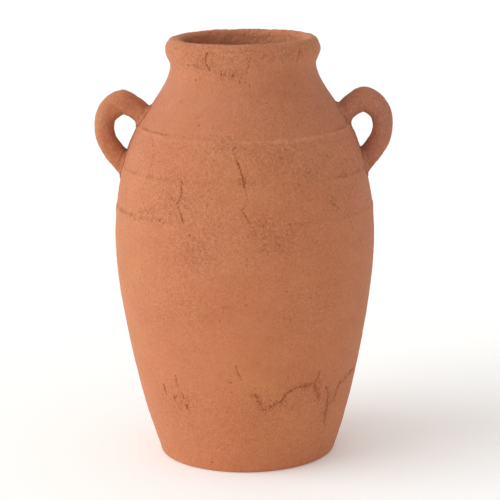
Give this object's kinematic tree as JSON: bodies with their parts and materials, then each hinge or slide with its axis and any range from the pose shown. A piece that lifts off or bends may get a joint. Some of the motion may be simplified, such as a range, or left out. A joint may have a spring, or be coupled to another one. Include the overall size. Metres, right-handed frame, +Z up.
{
  "type": "two-handled terracotta jar",
  "caption": "Tall flat-based terracotta jar with a rounded belly, ledged shoulder, short neck, rolled rim and ear-shaped handles; stands alone and holds stems.",
  "frame": {"origin": "centre of the underside, on the surface that the jar stands on", "axes": "+Z up along the jar's axis; the handles lie on the X axis, one each way; +Y is one of the two plain sides"},
  "size_m": [0.2818, 0.2468, 0.4],
  "materials": {
    "clay": "unglazed, matt, sandy, with fine cracks and pits",
    "handle_clay": "unglazed, matt, hand smoothed",
    "luting_clay": "unglazed, matt, smeared"
  },
  "bodies": {
    "root": {"base_disc": "clay", "lower_wall": "clay", "belly_band": "clay", "shoulder_band": "clay", "neck_cone": "clay", "rim_roll": "clay", "left_handle": "handle_clay", "right_handle": "handle_clay", "left_upper_luting": "luting_clay", "left_lower_luting": "luting_clay", "right_upper_luting": "luting_clay", "right_lower_luting": "luting_clay"}
  },
  "joints": []
}
